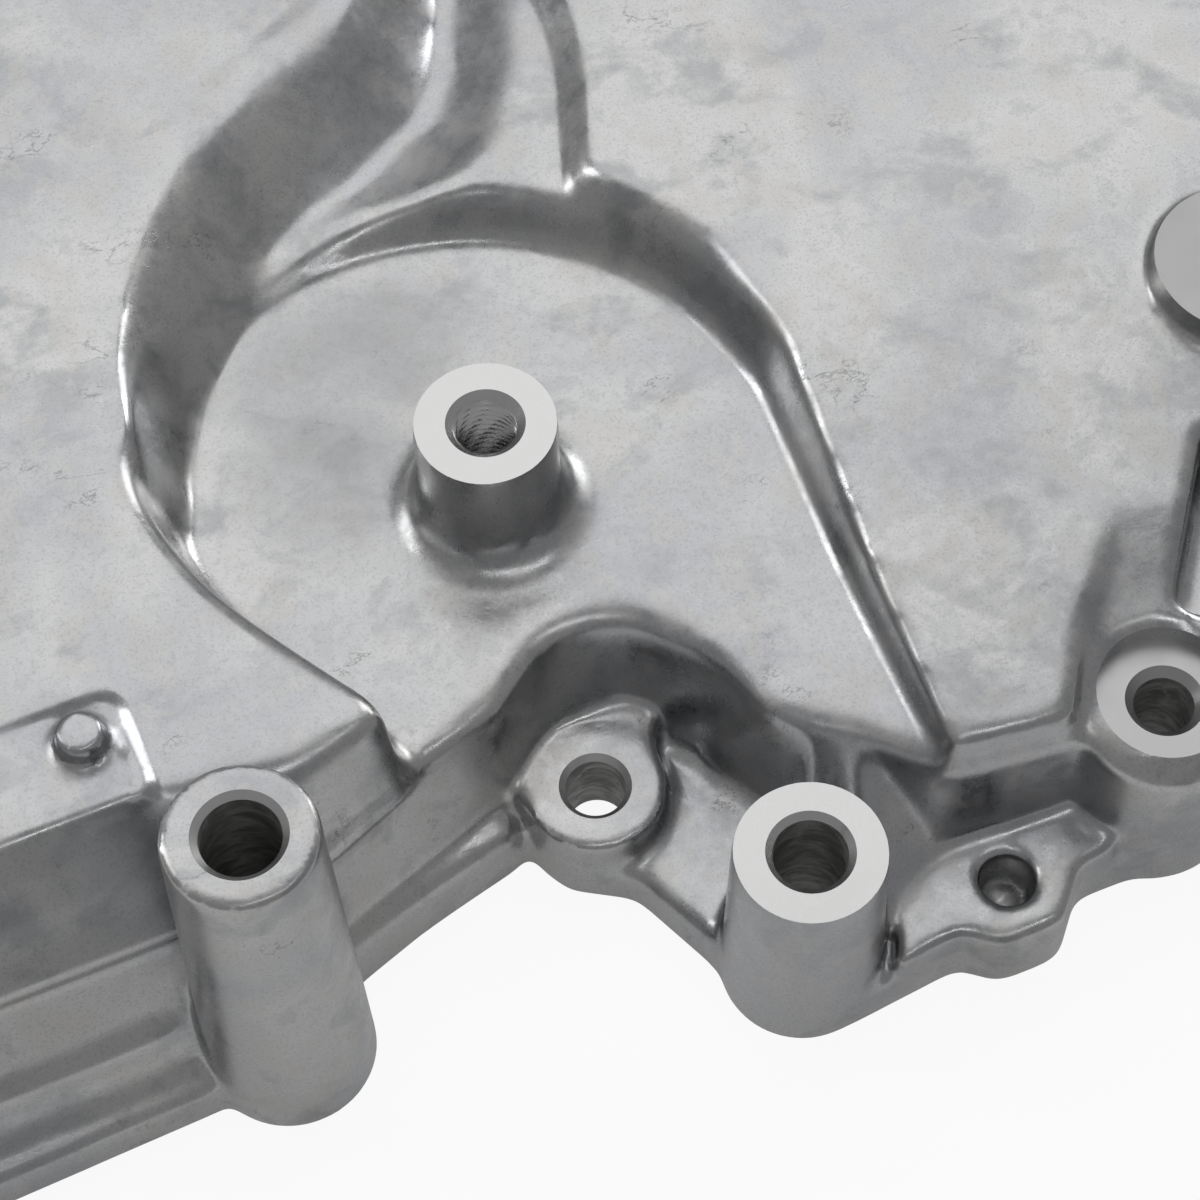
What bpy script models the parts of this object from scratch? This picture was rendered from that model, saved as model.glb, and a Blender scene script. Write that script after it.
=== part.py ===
"""Timing cover: one die-cast aluminium cover with its flange down on the gasket plane.

Metres, +Z up.  The gasket face lies on Z = 0 and the outer side faces +Z.  Outlines are given
in millimetres from the axis of the threaded pulley boss, +X along the flange's long edge, and
the finished casting is centred over the world origin at the end.
"""
import math

import bmesh
import bpy
from mathutils import Matrix, Vector

MM = 0.001

# Heights above the gasket plane
BOLT_PAD_TOP = 13.8 * MM
WEB_TOP = 7.5 * MM
RAIL_TOP = 11.0 * MM
DIMPLE_PAD_TOP = 12.8 * MM
POCKET_FLOOR = 30.6 * MM
PANEL_TOP = 43.6 * MM
PANEL_TILT = -0.034
SHELF_TOP = 36.0 * MM
SHELF_TILT = 0.09
VALLEY_START = 8.0
VALLEY_RAMP = 12.0
PANEL_FALL = 0.085
PANEL_FALL_START = 8.0 * MM
ARM_TOP = 31.0 * MM
ARM_TILT = 0.20
LEDGE_TOP = 16.5 * MM
PAD_TOP = 47.3 * MM

# Walls, draft and edges
WALL = 4.0 * MM
SKIN = 4.0 * MM
DRAFT = math.tan(math.radians(3.0))
RIM_ROUND = 2.6 * MM
MACHINED_STEP = 0.2 * MM
FOOT_FILLET = 2.0 * MM
TRIM_DEPTH = 6.0 * MM

# Threaded pulley boss in the pocket
THREAD_BOSS_D = 21.3 * MM
THREAD_BOSS_TOP = 51.4 * MM
THREAD_MINOR_D = 8.75 * MM
THREAD_CHAMFER_D = 11.7 * MM
THREAD_DEPTH = 18.5 * MM
FLARE_RADIUS = 16.5 * MM
FLARE_HEIGHT = 5.5 * MM

# Tall bracket boss at the left, level bracket boss at the centre
TALL_BOSS = (-56.1, -57.8)
TALL_BOSS_D = 21.3 * MM
TALL_BOSS_TOP = 70.8 * MM
TALL_BORE_D = 11.0 * MM
TALL_CHAMFER_D = 13.4 * MM
CENTRE_BOSS = (17.8, -75.1)
CENTRE_BOSS_D = 22.1 * MM
CENTRE_BOSS_TOP = 38.0 * MM
CENTRE_BORE_D = 10.7 * MM
CENTRE_CHAMFER_D = 12.7 * MM

# Bolt bosses on the flange
BOLT_BOSS_D = 21.0 * MM
BOLT_HOLE_D = 9.0 * MM
BOLT_CHAMFER_D = 10.9 * MM
BOLT_BOSSES = [
    (-1.3, -42.5),
    (-144.0, -52.0),
    (-150.0, 34.0),
    (-118.0, 132.0),
    (-30.0, 140.0),
    (58.0, 140.0),
    (140.0, 128.0),
    (160.0, 44.0),
    (158.0, -56.0),
]
CAST_DIMPLE = (48.4, -79.6)
CAST_DIMPLE_D = 8.1 * MM
CAST_DIMPLE_DEPTH = 9.0 * MM

# Bracket arm at the right: two bosses joined by a ladder with a window
ARM_BOSS = (77.0, -69.5)
ARM_BOSS_D = 27.8 * MM
ARM_BORE_D = 8.9 * MM
ARM_CHAMFER_D = 11.4 * MM
SPOT_FACE_D = 20.5 * MM
SPOT_FACE_TOP = 29.0 * MM
ARM_BOSS_END = (118.5, -12.5)
ARM_BOSS_END_TOP = 42.5 * MM
WINDOW_SIZE = (15.0 * MM, 31.0 * MM)
WINDOW_PLACE = (29.0, 5.7)
WINDOW_CORNER = 3.5
WINDOW_DEPTH = 13.0 * MM

# Plain label pad and its locating stud at the left
PAD_HALF = (23.6, 9.0)
PAD_CENTRE = (-86.4, -26.6)
STUD = (-69.8, -24.3)
STUD_D = 7.4 * MM
STUD_TOP = 51.0 * MM

# Crankshaft seal bore, outside the photographed part
CRANK_BORE = (-90.0, 88.0)
CRANK_BORE_D = 52.0 * MM
CRANK_COLLAR_D = 68.0 * MM
CRANK_COLLAR_TOP = 52.0 * MM

BOSS_SIDES = 36
HOLE_SIDES = 32
PLAIN_SIDES = 18
CORNER_STEPS = 3
INNER_STEPS = 2

# Looks
CAST_COLOUR = (0.56, 0.57, 0.58, 1.0)
SHARP_ANGLE = math.radians(32.0)

# A corner radius that lets the arc run from the middle of one side to the middle of the next
SMOOTH = 400.0

# Flange outline on the gasket plane: x, y, corner radius
FLANGE = [
    (-156.0, -66.5, 26.0),
    (-69.0, -63.2, 4.0),
    (-44.0, -52.8, 4.0),
    (-32.0, -48.6, 20.0),
    (-17.5, -43.5, 5.0),
    (-12.0, -43.4, 2.0),
    (-9.5, -50.5, 5.0),
    (-0.5, -56.0, 5.0),
    (5.5, -70.0, 14.0),
    (9.0, -83.5, 6.0),
    (20.0, -87.0, 8.0),
    (38.5, -85.2, 3.0),
    (43.5, -89.4, 4.0),
    (53.0, -89.4, 4.0),
    (59.5, -82.0, 3.0),
    (120.0, -82.4, 20.0),
    (170.0, -74.0, 24.0),
    (172.0, 60.0, 30.0),
    (156.0, 150.0, 32.0),
    (20.0, 152.0, 60.0),
    (-134.0, 148.0, 40.0),
    (-162.0, 60.0, 40.0),
]

# Outer wall: foot on the flange, rim at the pocket floor's height
WALL_FOOT = [
    (-148.0, -60.0, 22.0),
    (-68.0, -58.5, 12.0),
    (-45.0, -49.6, 6.0),
    (-30.0, -44.4, 12.0),
    (-14.5, -39.0, 4.0),
    (-3.5, -31.5, 6.0),
    (8.5, -31.5, 6.0),
    (17.5, -41.0, 20.0),
    (23.5, -54.0, 20.0),
    (33.0, -64.0, 5.0),
    (44.0, -71.6, 5.0),
    (64.0, -72.6, 5.0),
    (120.0, -73.0, 20.0),
    (164.0, -68.0, 20.0),
    (165.0, 58.0, 26.0),
    (150.0, 143.0, 28.0),
    (18.0, 145.0, 56.0),
    (-130.0, 141.0, 36.0),
    (-155.0, 58.0, 36.0),
]
WALL_RIM = [
    (-138.0, -47.5, 20.0),
    (-66.0, -46.0, 12.0),
    (-43.0, -44.8, 6.0),
    (-28.6, -38.6, 4.0),
    (-12.6, -33.2, 12.0),
    (-1.5, -25.2, 9.0),
    (9.5, -25.6, 12.0),
    (20.0, -37.5, 20.0),
    (23.5, -50.5, 8.0),
    (31.5, -55.6, 8.0),
    (44.0, -69.0, 4.0),
    (63.0, -71.0, 5.0),
    (120.0, -68.0, 20.0),
    (158.0, -63.0, 18.0),
    (159.0, 56.0, 24.0),
    (145.0, 137.0, 26.0),
    (17.0, 139.0, 54.0),
    (-126.0, 135.0, 34.0),
    (-148.0, 56.0, 34.0),
]

# Left panel: rim and foot of its wall
LEFT_TOP = [
    (-130.0, -37.0, 14.0),
    (-62.0, -36.0, 6.0),
    (-44.0, -39.0, 6.0),
    (-27.6, -34.4, 4.0),
    (-38.5, -18.0, SMOOTH),
    (-46.5, -4.0, SMOOTH),
    (-50.0, 12.0, SMOOTH),
    (-50.0, 26.0, SMOOTH),
    (-45.0, 43.0, SMOOTH),
    (-34.0, 61.0, SMOOTH),
    (-19.0, 78.0, SMOOTH),
    (-2.0, 89.5, SMOOTH),
    (11.0, 97.0, SMOOTH),
    (21.0, 106.0, SMOOTH),
    (26.0, 131.0, 8.0),
    (-118.0, 127.0, 30.0),
    (-138.0, 56.0, 30.0),
]
LEFT_FOOT = [
    (-137.0, -47.5, 14.0),
    (-66.0, -47.0, 6.0),
    (-43.4, -45.0, 6.0),
    (-27.0, -38.6, 4.0),
    (-36.6, -18.0, SMOOTH),
    (-43.8, -4.0, SMOOTH),
    (-46.2, 10.0, SMOOTH),
    (-43.0, 21.5, SMOOTH),
    (-34.0, 36.5, SMOOTH),
    (-21.0, 49.0, SMOOTH),
    (-2.0, 56.5, SMOOTH),
    (16.5, 58.5, SMOOTH),
    (19.0, 73.0, SMOOTH),
    (27.0, 92.0, SMOOTH),
    (36.0, 137.0, 8.0),
    (-124.0, 133.0, 30.0),
    (-146.0, 56.0, 30.0),
]

# Right panel: pocket tip, lower edge, arm side, far edge, then the finger beside the valley
RIGHT_TOP = [
    (44.6, -66.5, 2.0),
    (60.0, -68.6, 4.0),
    (65.0, -58.0, SMOOTH),
    (75.0, -47.0, SMOOTH),
    (90.0, -31.0, SMOOTH),
    (108.0, -14.0, SMOOTH),
    (128.0, -4.0, 12.0),
    (150.0, 10.0, 20.0),
    (138.0, 128.0, 24.0),
    (52.0, 131.0, 8.0),
    (43.0, 92.0, SMOOTH),
    (41.0, 66.0, SMOOTH),
    (32.0, 42.5, 8.0),
    (44.5, 25.5, SMOOTH),
    (49.4, 4.0, 16.0),
    (46.4, -37.0, SMOOTH),
]
RIGHT_FOOT = [
    (43.0, -67.4, 2.0),
    (62.6, -69.8, 4.0),
    (69.5, -60.0, SMOOTH),
    (79.0, -50.0, SMOOTH),
    (94.0, -34.0, SMOOTH),
    (112.0, -18.0, SMOOTH),
    (132.0, -9.0, 12.0),
    (157.0, 6.0, 20.0),
    (144.0, 135.0, 24.0),
    (46.0, 137.0, 8.0),
    (37.5, 92.0, SMOOTH),
    (34.5, 68.0, SMOOTH),
    (26.5, 40.5, 8.0),
    (40.5, 23.0, SMOOTH),
    (45.4, 4.0, 16.0),
    (43.0, -37.0, SMOOTH),
]

# Shelf between the valley and the pocket; its lower edge is the pocket's upper arc
SHELF = [
    (-60.0, 18.0, 4.0),
    (-43.4, 18.0, 3.0),
    (-37.0, 33.0, SMOOTH),
    (-21.0, 47.0, SMOOTH),
    (0.0, 50.4, SMOOTH),
    (21.0, 44.0, SMOOTH),
    (37.0, 28.0, SMOOTH),
    (60.0, 28.0, 4.0),
    (56.0, 137.0, 6.0),
    (-60.0, 137.0, 6.0),
]

# Bracket arm's upper face, the block along the left flange edge and three low flange steps
ARM = [
    (66.0, -79.5, 8.0),
    (97.0, -80.0, 12.0),
    (141.0, -24.0, 14.0),
    (132.0, -4.0, 12.0),
    (96.0, -22.0, 10.0),
    (66.0, -58.0, 10.0),
]
LEDGE = [
    (-146.0, -57.6, 18.0),
    (-70.0, -56.2, 3.0),
    (-70.0, -40.0, 3.0),
    (-140.0, -40.0, 6.0),
]
RAIL = [
    (-47.0, -51.6, 2.0),
    (-30.5, -46.4, SMOOTH),
    (-14.5, -42.6, 2.0),
    (-14.5, -34.0, 2.0),
    (-47.0, -40.0, 2.0),
]
BOLT_PAD = [
    (-11.2, -44.0, 2.0),
    (9.0, -46.0, 2.0),
    (9.4, -39.0, 6.0),
    (12.8, -33.0, 2.0),
    (6.0, -26.0, 8.0),
    (-3.0, -26.0, 8.0),
    (-12.6, -36.5, 2.0),
]
DIMPLE_PAD = [
    (27.6, -85.8, 0.8),
    (38.5, -84.7, 3.0),
    (43.5, -88.9, 4.0),
    (53.0, -88.9, 4.0),
    (59.5, -81.5, 3.0),
    (66.0, -81.5, 3.0),
    (64.0, -66.0, 2.0),
    (42.0, -66.0, 2.0),
    (40.0, -71.0, 3.0),
    (33.4, -75.0, 4.0),
]

# Sloping buttress from the pocket's rim down to the centre boss
SLOPE_FOOT = [
    (13.5, -40.0, 4.0),
    (22.8, -54.5, 4.0),
    (21.0, -70.0, 4.0),
    (25.5, -82.0, 4.0),
    (33.5, -77.0, 5.0),
    (40.5, -72.0, 4.0),
    (50.0, -71.5, 2.0),
    (46.0, -56.0, 3.0),
    (24.0, -36.0, 4.0),
]
SLOPE_RIM = [
    (20.5, -39.0, 4.0),
    (24.0, -50.5, 4.0),
    (27.5, -54.0, 3.0),
    (30.5, -56.0, 3.0),
    (34.0, -58.5, 3.0),
    (42.0, -67.5, 2.0),
    (48.0, -68.5, 2.0),
    (44.0, -56.0, 3.0),
    (27.0, -36.0, 4.0),
]


def rounded(corners, steps=CORNER_STEPS):
    """Return a counterclockwise outline in metres from corners of x, y and radius in mm."""
    outline = []
    count = len(corners)
    for i, (x, y, radius) in enumerate(corners):
        here = Vector((x, y))
        before = Vector(corners[i - 1][:2]) - here
        after = Vector(corners[(i + 1) % count][:2]) - here
        opening = before.angle(after)
        reach = radius / math.tan(opening / 2)
        reach = min(reach, 0.48 * before.length, 0.48 * after.length)
        start = here + before.normalized() * reach
        end = here + after.normalized() * reach
        for step in range(steps + 1):
            t = step / steps
            point = start.lerp(here, t).lerp(here.lerp(end, t), t)
            outline.append(point * MM)
    return outline


def grown(corners, distance):
    """Move the sides of a corner list outward by a distance, inward if it is negative."""
    shift = distance / MM
    moved = []
    count = len(corners)
    for i, (x, y, radius) in enumerate(corners):
        here = Vector((x, y))
        ahead = (Vector(corners[(i + 1) % count][:2]) - here).normalized()
        behind = (here - Vector(corners[i - 1][:2])).normalized()
        turn = behind.cross(ahead)
        normal = Vector((behind.y + ahead.y, -behind.x - ahead.x)).normalized()
        miter = shift / max(normal.dot(Vector((ahead.y, -ahead.x))), 0.35)
        place = here + normal * miter
        moved.append((place.x, place.y, max(radius + math.copysign(shift, turn * shift), 0.4)))
    return moved


def mixed(first, second, share):
    """Return the corner list that lies a share of the way from the first to the second."""
    return [tuple(a + (b - a) * share for a, b in zip(one, two)) for one, two in zip(first, second)]


def make_object(name, mesh_builder):
    """Make an object from a function that fills a bmesh."""
    mesh = bpy.data.meshes.new(name)
    work = bmesh.new()
    mesh_builder(work)
    bmesh.ops.recalc_face_normals(work, faces=work.faces)
    work.to_mesh(mesh)
    work.free()
    item = bpy.data.objects.new(name, mesh)
    bpy.context.scene.collection.objects.link(item)
    return item


def loft(name, levels, steps=CORNER_STEPS):
    """Make a closed solid through levels, each a corner list and a height or height function."""
    def build(work):
        rings = []
        for corners, height in levels:
            ring = []
            for point in rounded(corners, steps):
                z = height(point) if callable(height) else height
                ring.append(work.verts.new((point.x, point.y, z)))
            rings.append(ring)
        count = len(rings[0])
        for low, high in zip(rings, rings[1:]):
            for i in range(count):
                j = (i + 1) % count
                work.faces.new((low[i], low[j], high[j], high[i]))
        work.faces.new(list(reversed(rings[0])))
        work.faces.new(rings[-1])
    return make_object(name, build)


def turned(name, centre, profile, sides=BOSS_SIDES):
    """Make a turned solid from a profile of radius and height or height function, bottom up."""
    def build(work):
        rings = []
        for radius, height in profile:
            ring = []
            for i in range(sides):
                angle = 2 * math.pi * i / sides
                x = centre[0] * MM + radius * math.cos(angle)
                y = centre[1] * MM + radius * math.sin(angle)
                z = height(Vector((x, y))) if callable(height) else height
                ring.append(work.verts.new((x, y, z)))
            rings.append(ring)
        for low, high in zip(rings, rings[1:]):
            for i in range(sides):
                j = (i + 1) % sides
                work.faces.new((low[i], low[j], high[j], high[i]))
        work.faces.new(list(reversed(rings[0])))
        work.faces.new(rings[-1])
    return make_object(name, build)


def combine(target, tool, operation):
    """Apply an exact Boolean to the target and remove the tool."""
    modifier = target.modifiers.new(operation.title(), "BOOLEAN")
    modifier.operation = operation
    modifier.solver = "EXACT"
    modifier.object = tool
    evaluated = target.evaluated_get(bpy.context.evaluated_depsgraph_get())
    result = bpy.data.meshes.new_from_object(evaluated)
    old = target.data
    target.modifiers.clear()
    target.data = result
    bpy.data.meshes.remove(old)
    bpy.data.objects.remove(tool)


def panel_height(point):
    """Height of the panels, which fall slightly towards +X."""
    return PANEL_TOP + PANEL_TILT * point.x


def shelf_height(point):
    """Height of the shelf between valley and pocket, which rises towards +X."""
    return SHELF_TOP + SHELF_TILT * point.x


def arm_height(point):
    """Height of the bracket arm, which rises away from the flange edge."""
    return ARM_TOP + ARM_TILT * (point.y - ARM_BOSS[1] * MM)


def lowered(height, drop):
    """Return a height function that lies below another by a drop."""
    return lambda point: height(point) - drop


def pocket_height(point):
    """Height of the pocket's level floor."""
    return POCKET_FLOOR


def left_foot_height(point):
    """Height of the left panel's foot: the pocket floor, and beyond the pocket the valley's shelf."""
    share = min(max((point.y / MM - VALLEY_START) / VALLEY_RAMP, 0.0), 1.0)
    rise = max(shelf_height(point) - 0.4 * MM - POCKET_FLOOR, 0.0)
    return POCKET_FLOOR + rise * share


def panel(name, top, foot, bottom):
    """Make a panel with a filleted foot, a drafted wall and a rounded rim."""
    def height(share, offset):
        return lambda point: bottom(point) + (panel_height(point) - bottom(point)) * share + offset

    return loft(name, [
        (grown(foot, FOOT_FILLET), POCKET_FLOOR - SKIN / 2),
        (grown(foot, FOOT_FILLET * 0.5), lowered(bottom, -FOOT_FILLET * 0.15)),
        (mixed(foot, top, 0.12), height(0.13, 0.0)),
        (mixed(foot, top, 0.45), height(0.47, 0.0)),
        (mixed(foot, top, 0.8), height(0.8, 0.0)),
        (top, lowered(panel_height, RIM_ROUND * 0.35)),
        (grown(top, -RIM_ROUND), panel_height),
    ])


def wall_block():
    """Make the outer wall's block, from under the gasket plane to the pocket floor."""
    return loft("wall_block", [
        (WALL_FOOT, -TRIM_DEPTH),
        (grown(WALL_FOOT, FOOT_FILLET), WEB_TOP),
        (WALL_FOOT, WEB_TOP + FOOT_FILLET),
        (mixed(WALL_FOOT, WALL_RIM, 0.92), POCKET_FLOOR - RIM_ROUND * 0.8),
        (grown(WALL_RIM, -RIM_ROUND * 0.25), POCKET_FLOOR - RIM_ROUND * 0.2),
        (grown(WALL_RIM, -RIM_ROUND), POCKET_FLOOR),
    ])


def flange_plate():
    """Make the flange plate, with a bevelled upper edge."""
    return loft("flange_plate", [
        (FLANGE, -TRIM_DEPTH),
        (FLANGE, WEB_TOP * 0.8),
        (grown(FLANGE, -WEB_TOP * 0.2), WEB_TOP),
    ])


def ledge_block():
    """Make the stepped block along the left flange edge."""
    return loft("ledge", [
        (grown(LEDGE, 2.0 * MM), -TRIM_DEPTH),
        (grown(LEDGE, 1.6 * MM), WEB_TOP),
        (LEDGE, LEDGE_TOP - 1 * MM),
        (grown(LEDGE, -1 * MM), LEDGE_TOP),
    ])


def arm_block():
    """Make the bracket arm's body."""
    return loft("arm", [
        (grown(ARM, 2.5 * MM), -TRIM_DEPTH),
        (grown(ARM, 2.0 * MM), WEB_TOP),
        (ARM, lowered(arm_height, 1 * MM)),
        (grown(ARM, -1 * MM), arm_height),
    ])


def step_block(name, corners, top, slope):
    """Make a low step on the flange with a bevelled edge."""
    return loft(name, [
        (grown(corners, slope), -TRIM_DEPTH),
        (grown(corners, slope), top - slope * 1.5),
        (corners, top - 0.3 * MM),
        (grown(corners, -0.6 * MM), top),
    ])


def valley_shelf():
    """Make the shelf whose lower edge is the pocket's upper wall."""
    return loft("shelf", [
        (grown(SHELF, 1.2 * MM), POCKET_FLOOR - SKIN / 2),
        (grown(SHELF, 0.3 * MM), POCKET_FLOOR + 0.5 * MM),
        (grown(SHELF, -1.0 * MM), POCKET_FLOOR + 1.8 * MM),
        (grown(SHELF, -3.4 * MM), lowered(shelf_height, 1.0 * MM)),
        (grown(SHELF, -5.4 * MM), shelf_height),
    ])


def centre_slope():
    """Make the buttress that runs from the pocket's rim down to the centre boss."""
    def foot_height(point):
        share = min(max((point.x / MM - 22.0) / 8.0, 0.0), 1.0)
        return WEB_TOP + (DIMPLE_PAD_TOP - WEB_TOP) * share

    return loft("centre_slope", [
        (SLOPE_FOOT, -TRIM_DEPTH),
        (SLOPE_FOOT, foot_height),
        (mixed(SLOPE_FOOT, SLOPE_RIM, 0.2), lowered(foot_height, -1.6 * MM)),
        (SLOPE_RIM, POCKET_FLOOR - 1.6 * MM),
        (grown(SLOPE_RIM, -1.4 * MM), POCKET_FLOOR - 0.3 * MM),
    ], INNER_STEPS)


def panel_fall(name, depth):
    """Make the cutter that lets the right panel fall towards the flange edge, at a depth."""
    left, right, front, back = 38.0, 114.0, -92.0, PANEL_FALL_START / MM + 4.0
    corners = [(left, front, 1.0), (right, front, 1.0), (right, back, 1.0), (left, back, 1.0)]

    def falling(point):
        return panel_height(point) + PANEL_FALL * (point.y - PANEL_FALL_START) - depth

    return loft(name, [(corners, falling), (corners, 2 * PANEL_TOP)], 1)


def boss(name, centre, diameter, top, sides=BOSS_SIDES, bottom=-TRIM_DEPTH, edge=0.5 * MM):
    """Make a drafted boss that stands on the gasket plane or starts at a given bottom."""
    radius = diameter / 2
    flare = radius + (top - max(bottom, 0.0)) * DRAFT * 0.5
    return turned(name, centre, [
        (flare, bottom),
        (flare, max(bottom, 0.0) + 0.1 * MM),
        (radius, top - edge),
        (radius - edge, top),
    ], sides)


def arm_boss():
    """Make the boss at the arm's lower end, whose rim follows the arm's sloping face."""
    radius = ARM_BOSS_D / 2
    raised = lowered(arm_height, -MACHINED_STEP)
    return turned("arm_boss", ARM_BOSS, [
        (radius + 1.0 * MM, -TRIM_DEPTH),
        (radius + 1.0 * MM, 0.0),
        (radius, lowered(raised, 1 * MM)),
        (radius - 1 * MM, raised),
    ])


def threaded_boss():
    """Make the pulley boss with the wide flare at its foot."""
    radius = THREAD_BOSS_D / 2
    profile = [
        (FLARE_RADIUS + 1 * MM, POCKET_FLOOR - SKIN / 2),
        (FLARE_RADIUS, POCKET_FLOOR + 0.2 * MM),
    ]
    turns = 5
    for i in range(1, turns + 1):
        angle = math.pi / 2 * i / turns
        r = radius + (FLARE_RADIUS - radius) * (1 - math.sin(angle))
        z = POCKET_FLOOR + FLARE_HEIGHT * (1 - math.cos(angle)) + 0.2 * MM
        profile.append((r, z))
    profile.append((radius, THREAD_BOSS_TOP - 0.4 * MM))
    profile.append((radius - 0.4 * MM, THREAD_BOSS_TOP))
    return turned("threaded_boss", (0.0, 0.0), profile)


def hole(name, centre, diameter, top, bottom, chamfer, sides=HOLE_SIDES):
    """Make a cutter for a drilled hole with a chamfered mouth."""
    radius = diameter / 2
    depth = chamfer / 2 - radius
    return turned(name, centre, [
        (radius, bottom),
        (radius, top - depth),
        (chamfer / 2, top),
        (chamfer / 2, top + TRIM_DEPTH),
    ], sides)


def blind_hole(name, centre, diameter, top, depth, chamfer):
    """Make a cutter for a blind hole with a drill point."""
    radius = diameter / 2
    lead = chamfer / 2 - radius
    point = radius * 0.58
    return turned(name, centre, [
        (radius * 0.05, top - depth - point),
        (radius, top - depth),
        (radius, top - lead),
        (chamfer / 2, top),
        (chamfer / 2, top + TRIM_DEPTH),
    ], HOLE_SIDES)


def window():
    """Make the cutter for the window in the bracket arm, square to the arm's length."""
    start = Vector(ARM_BOSS)
    end = Vector(ARM_BOSS_END)
    along = (end - start).normalized()
    across = Vector((along.y, -along.x))
    middle = start + along * WINDOW_PLACE[0] + across * WINDOW_PLACE[1]
    half_width = WINDOW_SIZE[0] / 2 / MM
    half_length = WINDOW_SIZE[1] / 2 / MM
    corners = []
    for side, end_sign in ((-1, -1), (1, -1), (1, 1), (-1, 1)):
        place = middle + across * side * half_width + along * end_sign * half_length
        corners.append((place.x, place.y, WINDOW_CORNER))
    return loft("window", [
        (grown(corners, -1.0 * MM), lowered(arm_height, WINDOW_DEPTH)),
        (corners, lowered(arm_height, -TRIM_DEPTH)),
    ])


def cavity():
    """Make the cutter for the chain space inside, one wall away from the outer surface."""
    return loft("cavity", [
        (grown(WALL_FOOT, -WALL * 1.4), -TRIM_DEPTH),
        (grown(mixed(WALL_FOOT, WALL_RIM, 0.3), -WALL * 1.2), WEB_TOP),
        (grown(WALL_RIM, -WALL), POCKET_FLOOR - SKIN),
    ], INNER_STEPS)


def panel_cavity(name, top, foot):
    """Make the cutter for the hollow under a raised panel, parallel to its outer face."""
    inset = WALL * 1.5
    return loft(name, [
        (grown(mixed(foot, top, 0.5), -inset), POCKET_FLOOR - SKIN * 2),
        (grown(top, -inset), lowered(panel_height, SKIN)),
    ], INNER_STEPS)


def box_corners(centre, half, radius):
    """Return the corner list of a rectangle."""
    x, y = centre
    half_x, half_y = half
    return [
        (x - half_x, y - half_y, radius),
        (x + half_x, y - half_y, radius),
        (x + half_x, y + half_y, radius),
        (x - half_x, y + half_y, radius),
    ]


def label_pad():
    """Make the raised pad that would carry a label, left plain."""
    corners = box_corners(PAD_CENTRE, PAD_HALF, 3.0)
    return loft("label_pad", [
        (grown(corners, 2.0 * MM), POCKET_FLOOR),
        (grown(corners, 0.6 * MM), PAD_TOP - 3.5 * MM),
        (corners, PAD_TOP - 0.6 * MM),
        (grown(corners, -0.6 * MM), PAD_TOP),
    ])


def trim_block():
    """Make the cutter that faces the gasket plane."""
    corners = box_corners((0.0, 0.0), (400.0, 400.0), 1.0)
    return loft("trim_block", [(corners, -4 * TRIM_DEPTH), (corners, 0.0)])


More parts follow.
